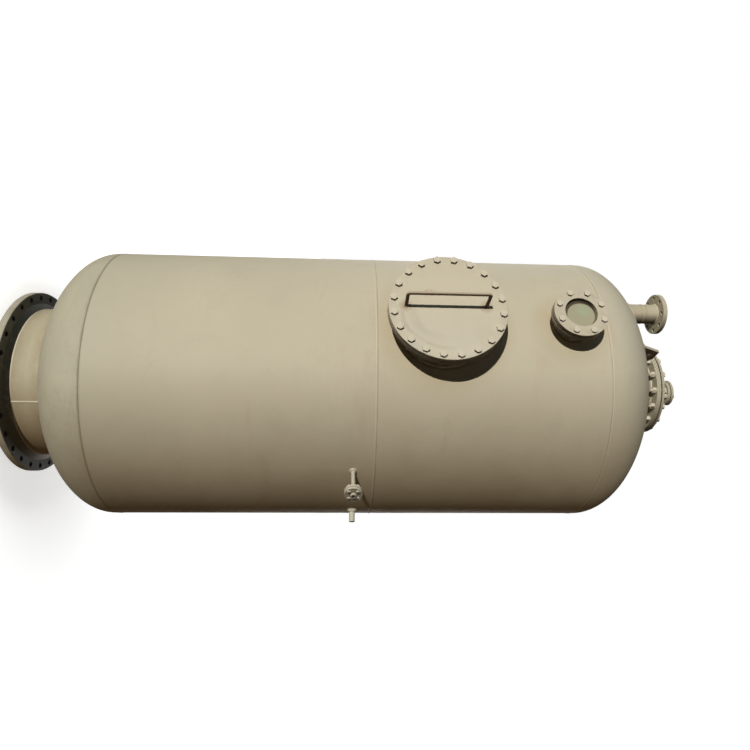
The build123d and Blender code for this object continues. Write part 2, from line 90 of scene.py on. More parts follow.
barrelLow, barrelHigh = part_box("base_barrel")
barrelRadius = barrelHigh.x


class Sock:
    def __init__(self, sheet, socket):
        self.sheet = sheet
        self.socket = socket

    # Values go to a Math node, vectors to Vector Math and colours to Mix
    def maths(self, operation, first, second):
        kinds = [value.socket.type if isinstance(value, Sock) else "VALUE" for value in (first, second)]
        kind = "RGBA" if "RGBA" in kinds else "VECTOR" if "VECTOR" in kinds else "VALUE"
        if kind == "VALUE":
            return self.sheet.add("ShaderNodeMath", {"operation": operation}, [first, second])
        whole = [value if isinstance(value, (Sock, tuple)) else (value,) * 3 for value in (first, second)]
        if kind == "VECTOR":
            return self.sheet.add("ShaderNodeVectorMath", {"operation": operation}, whole)
        settings = {"data_type": "RGBA", "blend_type": operation}
        return self.sheet.add("ShaderNodeMix", settings, {0: 1.0, 6: whole[0], 7: whole[1]}, 2)

    def __add__(self, other):
        return self.maths("ADD", self, other)

    def __radd__(self, other):
        return self.maths("ADD", other, self)

    def __sub__(self, other):
        return self.maths("SUBTRACT", self, other)

    def __rsub__(self, other):
        return self.maths("SUBTRACT", other, self)

    def __mul__(self, other):
        return self.maths("MULTIPLY", self, other)

    def __rmul__(self, other):
        return self.maths("MULTIPLY", other, self)

    def __abs__(self):
        return self.sheet.add("ShaderNodeMath", {"operation": "ABSOLUTE"}, [self])

    def clamped(self):
        return self.sheet.add("ShaderNodeMath", {"operation": "ADD", "use_clamp": True}, [self, 0.0])


class Sheet:
    def __init__(self, tree):
        self.tree = tree

    # One way in for every node: its type, settings first, then values or links of its sockets
    def add(self, kind, settings, sockets, out=0):
        node = self.tree.nodes.new(kind)
        for key, value in settings.items():
            setattr(node, key, value)
        pairs = sockets.items() if isinstance(sockets, dict) else enumerate(sockets)
        for key, value in pairs:
            self.feed(node.inputs[key], value)
        return Sock(self, node.outputs[out]) if len(node.outputs) else None

    def feed(self, target, value):
        if isinstance(value, Sock):
            self.tree.links.new(value.socket, target)
        elif target.type == "RGBA":
            target.default_value = (*value, 1)
        else:
            target.default_value = value


# A material's nodes, with the measures that its marks are placed by
class Finish(Sheet):
    def __init__(self, name):
        self.material = bpy.data.materials.new(name)
        self.material.use_nodes = True
        super().__init__(self.material.node_tree)
        self.shader = self.tree.nodes["Principled BSDF"]
        self.place = self.add("ShaderNodeTexCoord", {}, {}, "Object")

    def set(self, name, value):
        self.feed(self.shader.inputs[name], value)

    def noise(self, scale, detail=4.0, rough=0.55, where=None, distortion=0.0):
        sockets = {"Vector": where or self.place, "Scale": scale, "Detail": detail, "Roughness": rough,
                   "Distortion": distortion}
        return self.add("ShaderNodeTexNoise", {}, sockets, "Fac")

    def facing(self, way):
        normal = self.add("ShaderNodeNewGeometry", {}, {}, "Normal")
        return self.add("ShaderNodeVectorMath", {"operation": "DOT_PRODUCT"}, [normal, way], "Value")

    # How far along a direction, from a line and from a point
    def along(self, way):
        return self.add("ShaderNodeVectorMath", {"operation": "DOT_PRODUCT"}, [self.place, way], "Value")

    def fromLine(self, point, way):
        beside = self.place - tuple(point)
        square = self.add("ShaderNodeVectorMath", {"operation": "CROSS_PRODUCT"}, [beside, way])
        return self.add("ShaderNodeVectorMath", {"operation": "LENGTH"}, [square], "Value")

    def fromPoint(self, point, where=None):
        sockets = [where or self.place, point]
        return self.add("ShaderNodeVectorMath", {"operation": "DISTANCE"}, sockets, "Value")

    def ramp(self, value, low, high):
        sockets = {"Value": value, "From Min": low, "From Max": high, "To Min": 0.0, "To Max": 1.0}
        return self.add("ShaderNodeMapRange", {"clamp": True}, sockets)

    def blend(self, amount, under, over):
        settings = {"data_type": "RGBA", "blend_type": "MIX", "clamp_factor": True}
        return self.add("ShaderNodeMix", settings, {0: amount, 6: under, 7: over}, 2)

    def bump(self, height, strength, distance):
        sockets = {"Height": height, "Strength": strength, "Distance": distance}
        self.set("Normal", self.add("ShaderNodeBump", {}, sockets))


# Painted shade with some dust on the side turned from the light, the side that lay lowest; it ends at the
# horizon way, and the opposite side is kept clean
shadeAndSoilWay = (0.893, 0.449, 0.0)
litSideWay = (-0.893, -0.449, 0)
horizonWay = (0.449, -0.893, 0)
tone = {
    "pale": (0.60, 0.56, 0.46),
    "stain": (0.36, 0.25, 0.16),
    "soil": (0.115, 0.062, 0.014),
    "rust": (0.27, 0.105, 0.045),
    "grime": (0.048, 0.036, 0.025),
    "smoke": (0.25, 0.24, 0.20),
    "seamShadow": (0.27, 0.225, 0.15),
    "neckStain": (0.36, 0.255, 0.12),
    "pinkCast": (0.46, 0.33, 0.25),
    "stroke": (0.29, 0.28, 0.215),
    "heatTint": (0.33, 0.24, 0.115),
    "edgeRust": (0.20, 0.13, 0.075),
    "wiped": (0.31, 0.285, 0.22),
    "footRust": (0.30, 0.20, 0.11),
    "redSmear": (0.36, 0.13, 0.075),
    "chalk": (0.585, 0.55, 0.475),
    "greenSheen": (0.33, 0.45, 0.29),
    "hubFace": (0.21, 0.18, 0.125),
    "hubBore": (0.012, 0.010, 0.008),
    "rimPaint": (0.46, 0.43, 0.335),
    "millScale": (0.11, 0.075, 0.05),
    "wornPaint": (0.47, 0.41, 0.305),
    "gasketDark": (0.016, 0.015, 0.014),
    "gasketPale": (0.055, 0.05, 0.043),
}
# Each paint's soil amount darkens the side turned from the light with painted shade and some dirt
paintLook = {
    "shellPaint": {"colour": (0.508, 0.466, 0.355), "soil": 0.85, "stain": 0.30, "roughness": 0.60},
    "topHeadPaint": {"colour": (0.482, 0.445, 0.343), "soil": 0.85, "stain": 0.2, "roughness": 0.60},
    # The bottom head is a little darker than the shell as painted shade
    "bottomHeadPaint": {"colour": (0.455, 0.428, 0.325), "soil": 0.78, "stain": 0.25, "roughness": 0.62},
    "barrelPaint": {"colour": (0.42, 0.375, 0.265), "soil": 0.9, "stain": 0.3, "roughness": 0.56},
    "pipePaint": {"colour": (0.43, 0.395, 0.295), "soil": 0.88, "stain": 0.3, "roughness": 0.58},
    # The top neck is dark as painted shade between the head and the flange
    "topNeckPaint": {"colour": (0.24, 0.21, 0.155), "soil": 0.88, "stain": 0.3, "roughness": 0.6},
    "neckPaint": {"colour": (0.40, 0.36, 0.27), "soil": 0.88, "stain": 0.3, "roughness": 0.6},
    "manFlangePaint": {"colour": (0.42, 0.375, 0.28), "soil": 0.88, "stain": 0.3, "roughness": 0.55},
    "topFlangePaint": {"colour": (0.45, 0.415, 0.315), "soil": 0.85, "stain": 0.2, "roughness": 0.5},
    "coverPaint": {"colour": (0.53, 0.485, 0.372), "soil": 0.88, "stain": 0.12, "roughness": 0.5},
    "ringPaint": {"colour": (0.50, 0.455, 0.35), "soil": 0.95, "stain": 0.12, "roughness": 0.5},
    "steamPaint": {"colour": (0.43, 0.395, 0.295), "soil": 0.95, "stain": 0.3, "roughness": 0.58},
    "blankPaint": {"colour": (0.355, 0.335, 0.235), "soil": 0.4, "stain": 0.1, "roughness": 0.32},
    "fittingPaint": {"colour": (0.50, 0.47, 0.375), "soil": 0.85, "stain": 0.1, "roughness": 0.5},
    "boltPaint": {"colour": (0.57, 0.525, 0.415), "soil": 0.88, "stain": 0.1, "roughness": 0.45},
    "beadPaint": {"colour": (0.545, 0.50, 0.39), "soil": 0.85, "stain": 0.35, "roughness": 0.5},
    "darkBeadPaint": {"colour": (0.255, 0.225, 0.165), "soil": 0.8, "stain": 0.4, "roughness": 0.6},
    # The base flange's dark colour is painted shade
    "basePaint": {"colour": (0.070, 0.075, 0.068), "soil": 0.6, "stain": 0.3, "roughness": 0.6},
    "handlePaint": {"colour": (0.235, 0.165, 0.11), "soil": 0.88, "stain": 0.8, "roughness": 0.55},
}
# Paints whose dirt and painted shade start sharply at the turn of an edge instead of fading round a big
# curve
sharpShadeAndDirt = {"neckPaint": (0.15, 0.8), "manFlangePaint": (-0.05, 0.55), "coverPaint": (0.1, 0.6),
             "boltPaint": (0.15, 0.5), "handlePaint": (-0.1, 0.35), "topFlangePaint": (0.1, 0.95),
             "pipePaint": (0.05, 0.85), "steamPaint": (0.05, 0.85),
             "ringPaint": (0.1, 0.6), "fittingPaint": (0.1, 0.9)}


# Scales of the noises in every paint, and how strongly each shows
grain = {
    "broad": 0.9, "middle": 5.5, "fine": 60, "blotch": 2.1, "scuff": 1.0, "dust": 2.4,
    "speck": 170, "pore": 420, "wave": 7,
    "brighter": 1.07, "darker": 0.84, "darkerAmount": 0.28, "scuffAmount": 0.4, "speckAmount": 0.3,
    "specular": 0.13, "bumpStrength": 0.35, "bumpHeight": 0.0011,
}


def paint(name, marks=None):
    look = paintLook[name]
    f = Finish(name)
    base = look["colour"]
    brighter = tuple(min(1, c * grain["brighter"]) for c in base)
    darker = tuple(c * grain["darker"] for c in base)
    broad = f.noise(grain["broad"], 5, 0.6)
    middle = f.noise(grain["middle"], 6, 0.62, distortion=0.4)
    fine = f.noise(grain["fine"], 4, 0.7)
    shade = f.blend(f.ramp(broad, 0.34, 0.68), base, brighter)
    shade = f.blend(f.ramp(middle, 0.52, 0.74) * grain["darkerAmount"], shade, darker)
    blotch = f.noise(grain["blotch"], 7, 0.7, distortion=1.2)
    shade = f.blend(f.ramp(blotch, 0.58, 0.78) * look["stain"], shade, tone["stain"])
    scuff = f.noise(grain["scuff"], 8, 0.75, where=f.place * (3, 3, 11), distortion=0.6)
    line = f.ramp(abs(scuff - 0.5), 0.012, 0.0) * f.ramp(f.noise(1.7, 2), 0.5, 0.7)
    shade = f.blend(line * grain["scuffAmount"], shade, tone["pale"])
    if marks:
        shade = marks(f, shade)
    # Painted shade with some dirt on the side turned from the light, kept to the side facing the horizon way
    low, high = sharpShadeAndDirt.get(name, (-0.15, 1.0))
    under = f.ramp(f.facing(shadeAndSoilWay), low, high) * f.ramp(f.facing(horizonWay), -0.5, 0.0)
    uneven = f.ramp(f.noise(grain["dust"], 6, 0.7), 0.25, 0.62) * 0.16 + 0.86
    dirtAndShade = (under * uneven * look["soil"]).clamped()
    shade = f.blend(dirtAndShade, shade, tone["grime"] if name in sharpShadeAndDirt else tone["soil"])
    speck = f.ramp(f.noise(grain["speck"], 2, 0.5), 0.68, 0.78) * grain["speckAmount"]
    shade = f.blend(speck, shade, tone["soil"])
    f.set("Base Color", shade)
    f.set("Roughness", (look["roughness"] + (middle - 0.5) * 0.22 + dirtAndShade * 0.2).clamped())
    f.set("Specular IOR Level", grain["specular"])
    relief = f.noise(grain["pore"], 2, 0.5) * 0.35 + fine * 0.3 + f.noise(grain["wave"], 3) * 2.2
    f.bump(relief, grain["bumpStrength"], grain["bumpHeight"])
    return f.material


# A ring of colour about a line: full between the inner pair of distances, gone at the outer pair
def band(f, distance, start, full, fade, end):
    return f.ramp(distance, start, full) * f.ramp(distance, end, fade)


def frontOnly(f):
    return f.ramp(f.along(tuple(front)), 0.0, 0.2)


# A dark line where two faces meet, at a distance along a direction
def jointLine(f, shade, way, at, width=0.0035):
    return f.blend(f.ramp(abs(f.along(tuple(way)) - at), width, width * 0.45) * 0.9, shade, tone["grime"])


# The shadow line beside each seam, stained rings round the necks with painted shade at their roots, greying
# and darkening to the foot as painted shade, and a pink cast
shellLook = {
    "lowOffset": 0.006, "offset": 0.0065, "lineWidth": 0.0040, "lineCore": 0.0020,
    "manStain": 0.17, "sideStain": 0.16, "root": 0.022,
    "greyTop": 0.6, "greyFoot": -0.1, "grey": 0.75, "pink": 0.25,
}


def seamMarks(f, shade, heights):
    z = f.along(tuple(up))
    uneven = f.ramp(f.noise(9, 4, 0.7), 0.3, 0.6)
    for height in heights:
        line = f.ramp(abs(z - height), shellLook["lineWidth"], shellLook["lineCore"])
        shade = f.blend(line * (uneven * 0.45 + 0.15), shade, tone["seamShadow"])
    return shade


def neckHalo(f, shade, point, radius, reach):
    far = f.fromLine(point, tuple(front))
    cloud = f.ramp(f.noise(6, 5, 0.65), 0.25, 0.7)
    halo = band(f, far, radius - 0.01, radius, radius, radius + reach) * frontOnly(f) * (cloud * 0.35 + 0.3)
    shade = f.blend(halo, shade, tone["neckStain"])
    # A dark ring at each neck's root, painted shade in the corner
    root = band(f, far, radius - 0.01, radius, radius + 0.006, radius + shellLook["root"]) * frontOnly(f)
    return f.blend(root * 0.7, shade, tone["grime"])


def shellMarks(f, shade):
    look = shellLook
    heights = (bottomSeam + look["lowOffset"], middleSeam + look["offset"], topSeam - look["offset"])
    shade = seamMarks(f, shade, heights)
    shade = neckHalo(f, shade, manMiddle, manRadius, look["manStain"])
    shade = neckHalo(f, shade, sideMiddle, sideRadius, look["sideStain"])
    grey = f.ramp(f.along(tuple(up)), bottomSeam + look["greyTop"], bottomSeam + look["greyFoot"])
    shade = f.blend(grey * look["grey"], shade, paintLook["bottomHeadPaint"]["colour"])
    pink = f.ramp(f.noise(1.6, 5, 0.6, distortion=0.8, where=f.place * (1, 1, 2.4)), 0.60, 0.74)
    return f.blend(pink * look["pink"], shade, tone["pinkCast"])


# Rolling left long faint strokes on the bottom head, and handling a grey bloom
headLook = {"bloom": 0.16, "stroke": 0.32}


def headMarks(f, shade):
    bloom = f.ramp(f.noise(2.6, 6, 0.66, distortion=0.7), 0.42, 0.66)
    shade = f.blend(bloom * headLook["bloom"], shade, tone["smoke"])
    stroke = f.noise(1.0, 5, 0.6, where=f.place * (2.6, 2.6, 6.5), distortion=1.7)
    line = f.ramp(abs(stroke - 0.52), 0.013, 0.0) * f.ramp(f.noise(2.2, 2), 0.44, 0.56)
    shade = f.blend(line * headLook["stroke"], shade, tone["stroke"])
    return seamMarks(f, shade, (bottomSeam - shellLook["lowOffset"],))


# Darker at both ends of the barrel: painted shade where the flange and the head meet it
barrelLook = {"footReach": 0.09, "foot": 0.35, "topReach": 0.1, "top": 0.5}


def barrelMarks(f, shade):
    look = barrelLook
    z = f.along(tuple(up))
    foot = f.ramp(z, barrelLow.z + look["footReach"], barrelLow.z) * look["foot"]
    top = f.ramp(z, barrelHigh.z - look["topReach"], barrelHigh.z) * look["top"]
    return f.blend((foot + top) * f.ramp(f.noise(8, 5, 0.7), 0.2, 0.6), shade, tone["soil"])


# Heat tint in bands on both sides of the girth weld, a wiped ring, and stain at the foot
steamLook = {"tint": 0.5, "wiped": 0.12, "stainTop": 0.13, "stainFoot": 0.02, "stain": 0.3}


def steamMarks(f, shade):
    look = steamLook
    z = f.along(tuple(up))
    near = abs(z - steamWeldAt)
    wobble = f.noise(30, 3, 0.6) * 0.006
    tint = band(f, near + wobble, 0.006, 0.011, 0.016, 0.034)
    shade = f.blend(tint * f.ramp(f.noise(11, 3), 0.35, 0.6) * look["tint"], shade, tone["heatTint"])
    shade = f.blend(f.ramp(near, 0.0085, 0.006) * look["wiped"], shade, tone["pale"])
    foot = f.ramp(z, steamLow.z + look["stainTop"], steamLow.z + look["stainFoot"])
    return f.blend(foot * look["stain"], shade, tone["stain"])


# Dark strokes that a coarse turning tool leaves slantwise on a rim, and the joints of both bolted pairs
topFlangeLook = {"pitch": 0.0085, "strength": 0.34, "joint": 0.0052, "ventJoint": 0.0042}


def topFlangeMarks(f, shade):
    look = topFlangeLook
    settings = {"wave_type": "BANDS", "bands_direction": "DIAGONAL"}
    sockets = {"Vector": f.place * (1, 1, 0.8), "Scale": 0.31 / look["pitch"], "Distortion": 1.2,
               "Detail": 2.0}
    wave = f.add("ShaderNodeTexWave", settings, sockets, "Fac")
    rim = f.ramp(abs(f.facing(tuple(up))), 0.5, 0.3)
    shade = f.blend(f.ramp(wave, 0.55, 0.85) * rim * look["strength"], shade, tone["grime"])
    shade = jointLine(f, shade, up, (topFlangeHigh.z + topCoverLow.z) / 2, look["joint"])
    return jointLine(f, shade, up, (ventFlangeHigh.z + ventBlankLow.z) / 2, look["ventJoint"])


def manFlangeMarks(f, shade):
    shade = jointLine(f, shade, front, -(manFlangeLow.y + coverHigh.y) / 2)
    shade = jointLine(f, shade, front, -(sideFlangeLow.y + sideRingHigh.y) / 2)
    rough = f.ramp(f.noise(22, 5, 0.7), 0.5, 0.7) * 0.4
    return f.blend(rough, shade, tone["edgeRust"])


# Wiped arcs, a reddish smear, rust at the handle's feet, a chalky side and a smoky edge
coverLook = {
    "wipes": ((0.275, 0.016, 0.07, 0.65), (0.24, 0.030, 0.11, 0.35)),  # radius, width, wander and amount
    "wipeAt": (0.17, -0.15),
    "footReach": 0.052, "footCore": 0.024, "foot": 0.55,
    "smearAt": (-0.077, -0.10), "smearStretch": 3.2, "smear": 0.85,
    "chalk": 0.45, "smoke": 0.16,
}


def coverMarks(f, shade):
    look = coverLook
    shade = jointLine(f, shade, front, -(manFlangeLow.y + coverHigh.y) / 2)
    far = f.fromLine(tuple(manMiddle), tuple(front))
    x, z = look["wipeAt"]
    lower = f.fromPoint((x, coverLow.y, manMiddle.z + z))
    wiped = f.ramp(lower, 0.26, 0.12) * f.ramp(f.noise(3.2, 4, 0.6, distortion=0.5), 0.35, 0.6)
    for radius, width, wander, amount in look["wipes"]:
        arc = f.ramp(abs(far - radius + f.noise(4, 3) * wander), width, width * 0.15)
        shade = f.blend(arc * wiped * amount, shade, tone["wiped"])
    for z in (handleLow.z + barRadius, handleHigh.z - barRadius):
        nearFoot = f.fromPoint((handleX, coverLow.y, z)) + f.noise(40, 3) * 0.02
        foot = f.ramp(nearFoot, look["footReach"], look["footCore"])
        shade = f.blend(foot * look["foot"], shade, tone["footRust"])
    x, z = look["smearAt"]
    stretch = look["smearStretch"]
    smear = f.fromPoint((x * stretch, coverLow.y, manMiddle.z + z), f.place * (stretch, 1, 1))
    spots = f.ramp(f.noise(75, 3, 0.6, where=f.place * (1.6, 1, 0.8)), 0.52, 0.60)
    shade = f.blend(f.ramp(smear, 0.085, 0.04) * spots * look["smear"], shade, tone["redSmear"])
    chalk = f.ramp(f.along(shadeAndSoilWay), -0.45, -0.22) * f.ramp(f.noise(5, 5, 0.65), 0.3, 0.6)
    shade = f.blend(chalk * look["chalk"], shade, tone["chalk"])
    around = f.ramp(far, 0.255, 0.30) * f.ramp(f.noise(7, 4), 0.4, 0.65)
    return f.blend(around * look["smoke"], shade, tone["smoke"])


# Both joints of the side nozzle's ring, and a darker blotchy circle round its bolts
def ringMarks(f, shade):
    for at in (-(sideFlangeLow.y + sideRingHigh.y) / 2, -sideRingLow.y - 0.011):
        shade = jointLine(f, shade, front, at, 0.0028)
    far = f.fromLine(tuple(sideMiddle), tuple(front))
    circle = band(f, far, 0.10, 0.112, 0.13, 0.142) * f.ramp(f.noise(30, 4), 0.5, 0.65) * 0.3
    return f.blend(circle, shade, tone["smoke"])


# Sight plate with a painted greenish reflection towards one side, the ring's painted shadow along its edge
# and painted shade round its rim
def blankMarks(f, shade):
    reflection = f.fromPoint((-0.024, sideRingLow.y, sideMiddle.z + 0.024)) + f.noise(14, 4, 0.6) * 0.03
    shade = f.blend(f.ramp(reflection, 0.070, 0.028) * 0.6, shade, tone["greenSheen"])
    cast = f.fromPoint((0.010, sideRingLow.y + 0.02, sideMiddle.z + 0.009))
    shade = f.blend(f.ramp(cast, 0.0745, 0.080) * 0.9, shade, tone["grime"])
    far = f.fromLine(tuple(sideMiddle), tuple(front))
    return f.blend(f.ramp(far, 0.0765, 0.0795) * 0.7, shade, tone["grime"])


# The joint of the gauge fitting, its face painted darker as shade and the bore of its hub painted black as
# the shade inside it
def fittingMarks(f, shade):
    shade = jointLine(f, shade, gaugeWay, gaugeReach["joint"], 0.0018)
    shade = f.blend(f.ramp(f.facing(tuple(gaugeWay)), 0.80, 0.97) * 0.55, shade, tone["hubFace"])
    bore = f.fromLine(tuple(gaugeMiddle), tuple(gaugeWay))
    return f.blend(f.ramp(bore, 0.0096, 0.0092), shade, tone["hubBore"])


# Dark faces as painted shade, the paint's own colour kept on the rim, patches of mill scale, and painted
# shade at the foot
def baseMarks(f, shade):
    z = f.along(tuple(up))
    far = f.fromLine((0, 0, 0), tuple(up))
    rim = f.ramp(far, baseRadius - 0.0035, baseRadius - 0.0015)
    shade = f.blend(rim * (f.ramp(f.noise(5, 5, 0.6), 0.2, 0.5) * 0.3 + 0.65), shade, tone["rimPaint"])
    scale = f.ramp(f.noise(16, 6, 0.7), 0.45, 0.7)
    shade = f.blend(scale * 0.3, shade, tone["millScale"])
    return f.blend(f.ramp(z, 0.008, 0.0) * 0.5, shade, tone["grime"])


# A rusty bar, its dark brown partly painted shade, painted lighter on its lit side as a painted highlight
def handleMarks(f, shade):
    worn = f.ramp(f.noise(35, 5, 0.65), 0.46, 0.66)
    shade = f.blend(worn * 0.35, shade, tone["rust"])
    return f.blend(f.ramp(f.facing(litSideWay), -0.25, 0.25) * 0.9, shade, tone["wornPaint"])


def gasketSheet():
    f = Finish("gasketSheet")
    fibre = f.noise(320, 4, 0.7)
    f.set("Base Color", f.blend(fibre, tone["gasketDark"], tone["gasketPale"]))
    f.set("Roughness", (0.75 + fibre * 0.15).clamped())
    f.bump(fibre, 0.4, 0.0004)
    return f.material


shellPaint = paint("shellPaint", shellMarks)
pipePaint = paint("pipePaint")
neckPaint = paint("neckPaint")
manFlangePaint = paint("manFlangePaint", manFlangeMarks)
topFlangePaint = paint("topFlangePaint", topFlangeMarks)
fittingPaint = paint("fittingPaint", fittingMarks)
boltPaint = paint("boltPaint")
beadPaint = paint("beadPaint")
darkBeadPaint = paint("darkBeadPaint")
coverPaint = paint("coverPaint", coverMarks)
nodeFinish = {
    "lower_course": shellPaint, "upper_course": shellPaint,
    "bottom_head": paint("bottomHeadPaint", headMarks), "top_head": paint("topHeadPaint", shellMarks),
    "base_barrel": paint("barrelPaint", barrelMarks), "base_flange": paint("basePaint", baseMarks),
    "top_flange": topFlangePaint, "top_cover": topFlangePaint, "vent_flange": topFlangePaint,
    "vent_blank": topFlangePaint, "steam_flange": pipePaint, "vent_pipe": pipePaint,
    "manhole_flange": manFlangePaint, "side_flange": manFlangePaint,
    "side_ring": paint("ringPaint", ringMarks), "side_blank": paint("blankPaint", blankMarks),
    "manhole_neck": neckPaint, "side_neck": neckPaint, "lifting_lugs": neckPaint,
    "steam_pipe": paint("steamPaint", steamMarks), "top_neck": paint("topNeckPaint"),
    "manhole_cover": coverPaint, "manhole_handle": paint("handlePaint", handleMarks),
    "gauge_boss": fittingPaint, "gauge_neck": fittingPaint, "gauge_flange": fittingPaint,
    "gauge_ring": fittingPaint, "drain_boss": fittingPaint, "drain_pipe": fittingPaint,
}
gasketLook = gasketSheet()
for name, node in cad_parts.items():
    node.data.materials.clear()
    node.data.materials.append(nodeFinish.get(name, gasketLook))
print("stage: finishes on the solids")


def addPiece(name, points, faces, finish, angle=35):
    mesh = bpy.data.meshes.new(name)
    mesh.from_pydata([tuple(p) for p in points], [], faces)
    mesh.validate()
    mesh.update()
    piece = bpy.data.objects.new(name, mesh)
    bpy.context.scene.collection.objects.link(piece)
    mesh.materials.append(finish)
    mesh.shade_smooth()
    mesh.set_sharp_from_angle(angle=math.radians(angle))
    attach(piece, "root")
    return piece


def joined(parts):
    points, faces = [], []
    for some, more in parts:
        shift = len(points)
        points += some
        faces += [tuple(i + shift for i in face) for face in more]
    return points, faces


# Beads are width by height, fillets one size; on a curve and in a corner a fillet stands off and spreads
weldLook = {
    "sides": 10, "ripple": 0.16, "pitch": 0.011, "uneven": 0.06, "step": 0.004, "ringStep": 0.005,
    "seam": (0.009, 0.0016), "darkSeam": (0.006, 0.0011), "hubSeam": (0.010, 0.0018),
    "raisedSeam": (0.012, 0.0032), "steamSeam": (0.009, 0.0018), "endGap": 0.01,
    "fillet": 0.009, "smallFillet": 0.005,
    "onCurve": {"away": 0.25, "width": 1.7, "height": 0.62},
    "inCorner": {"away": 0.2, "width": 1.6, "height": 0.6},
}
fittingPart = {"slot": "fitting_paint", "finish": fittingPaint}
handlePart = {"slot": "handle_bar", "finish": nodeFinish["manhole_handle"]}


# A rounded bead along a path, flattened on what it lies on, with the ripples of each pass
def beadMesh(path, outward, width, height, closed=True):
    sides = weldLook["sides"]
    uneven = weldLook["uneven"]
    points, faces = [], []
    count = len(path)
    travelled = 0.0
    for i, point in enumerate(path):
        after = path[(i + 1) % count] if closed or i + 1 < count else point
        before = path[i - 1] if closed or i else point
        tangent = (after - before).normalized()
        normal = outward(point).normalized()
        across = tangent.cross(normal).normalized()
        normal = across.cross(tangent).normalized()
        phase = 2 * math.pi * travelled / weldLook["pitch"]
        wave = 1 + weldLook["ripple"] * math.sin(phase) + random.uniform(-uneven, uneven)
        for k in range(sides):
            a = 2 * math.pi * k / sides
            points.append(point + across * (width / 2 * math.cos(a)) * (0.94 + 0.06 * wave)
                          + normal * (height * math.sin(a)) * wave)
        if i + 1 < count:
            travelled += (path[i + 1] - point).length
    rings = count if closed else count - 1
    for i in range(rings):
        a, b = i * sides, ((i + 1) % count) * sides
        for k in range(sides):
            n = (k + 1) % sides
            faces.append((a + k, b + k, b + n, a + n))
    if not closed:
        faces.append(tuple(range(sides)))
        faces.append(tuple(reversed(range((count - 1) * sides, count * sides))))
    return points, faces


def addBead(name, path, outward, size, finish=beadPaint, closed=True):
    points, faces = beadMesh(path, outward, *size, closed)
    return addPiece(name, points, faces, finish)


def roundSteps(radius, step=weldLook["step"], least=60):
    return max(least, int(2 * math.pi * radius / step))


def ringPath(centre, axis, radius, step=weldLook["step"]):
    axis = axis.normalized()
    side = axis.orthogonal().normalized()
    other = axis.cross(side)
    count = roundSteps(radius, step, 48)
    turns = [2 * math.pi * i / count for i in range(count)]
    return [centre + radius * (math.cos(turn) * side + math.sin(turn) * other) for turn in turns]


def straightPath(foot, low, length, steps):
    return [foot + up * (low + length * i / steps) for i in range(steps + 1)]


def fromAxis(point):
    return Vector((point.x, point.y, 0))


# Girth seams of the shell; the lowest is painted dark and reads as a dark line
girthSeams = {
    "bottomSeamWeld": (bottomSeam, weldLook["darkSeam"], darkBeadPaint),
    "middleSeamWeld": (middleSeam, weldLook["seam"], beadPaint),
    "topSeamWeld": (topSeam, weldLook["seam"], beadPaint),
}
for name, (height, size, finish) in girthSeams.items():
    path = ringPath(up * height, up, shellRadius, weldLook["ringStep"])
    addBead(name, path, fromAxis, size, finish)

# Long seams where each rolled course closes, staggered round the far side by a turn in degrees
courseSeams = {"lowerLongWeld": (bottomSeam, middleSeam, 118), "upperLongWeld": (middleSeam, topSeam, 76)}
for name, (low, high, turn) in courseSeams.items():
    a = math.radians(turn)
    foot = Vector((shellRadius * math.cos(a), shellRadius * math.sin(a), 0))
    length = high - low - 2 * weldLook["endGap"]
    path = straightPath(foot, low + weldLook["endGap"], length, int(length / weldLook["step"]))
    addBead(name, path, fromAxis, weldLook["seam"], closed=False)


# Where a round neck meets the shell, a fillet follows the saddle
def saddleWeld(name, direction, height, radius, size, slot="shell_paint", finish=beadPaint):
    spread = weldLook["onCurve"]
    axis = direction.normalized()
    across = up.cross(axis).normalized()
    centre = up * height
    reach = radius + size * spread["away"]
    count = roundSteps(radius)
    path = []
    for i in range(count):
        t = 2 * math.pi * i / count
        s = reach * math.sin(t)
        out = math.sqrt(shellRadius ** 2 - s ** 2)
        path.append(axis * out + across * s + up * (height + reach * math.cos(t)))

    def outward(point):
        beside = point - centre
        beside = (beside - axis * beside.dot(axis)).normalized()
        return fromAxis(point).normalized() + beside

    addBead(name, path, outward, (size * spread["width"], size * spread["height"]), finish)


saddleWeld("manholeNeckWeld", front, manMiddle.z, manRadius, weldLook["fillet"] * 1.2)
saddleWeld("sideNeckWeld", front, sideMiddle.z, sideRadius, weldLook["fillet"])
saddleWeld("gaugeBossWeld", gaugeWay, gaugeMiddle.z, halfHeight("gauge_boss"), weldLook["smallFillet"],
           **fittingPart)
saddleWeld("drainBossWeld", drainWay, drainMiddle.z, halfHeight("drain_boss"),
           weldLook["smallFillet"] * 1.2, **fittingPart)

dishLook = {"skirt": 0.025, "depth": 0.408}  # straight edge and depth of both dished heads, outside


# Height of the dished heads' outside at a distance from the axis
def domeHeight(distance, top=True):
    rise = dishLook["depth"] * math.sqrt(max(0.0, 1 - (distance / shellRadius) ** 2))
    return topSeam + dishLook["skirt"] + rise if top else bottomSeam - dishLook["skirt"] - rise


def domeWeld(name, centre, radius, top=True):
    spread = weldLook["onCurve"]
    size = weldLook["fillet"]
    reach = radius + size * spread["away"]
    count = roundSteps(radius)
    path = []
    for i in range(count):
        t = 2 * math.pi * i / count
        x = centre.x + reach * math.cos(t)
        y = centre.y + reach * math.sin(t)
        path.append(Vector((x, y, domeHeight(math.hypot(x, y), top))))

    def outward(point):
        beside = Vector((point.x - centre.x, point.y - centre.y, 0)).normalized()
        return beside + up * (1 if top else -1)

    addBead(name, path, outward, (size * spread["width"], size * spread["height"]))


domeWeld("steamPipeWeld", steamMiddle, steamRadius)
domeWeld("topNeckWeld", axisFoot, topNeckRadius)
domeWeld("barrelWeld", axisFoot, barrelRadius, top=False)

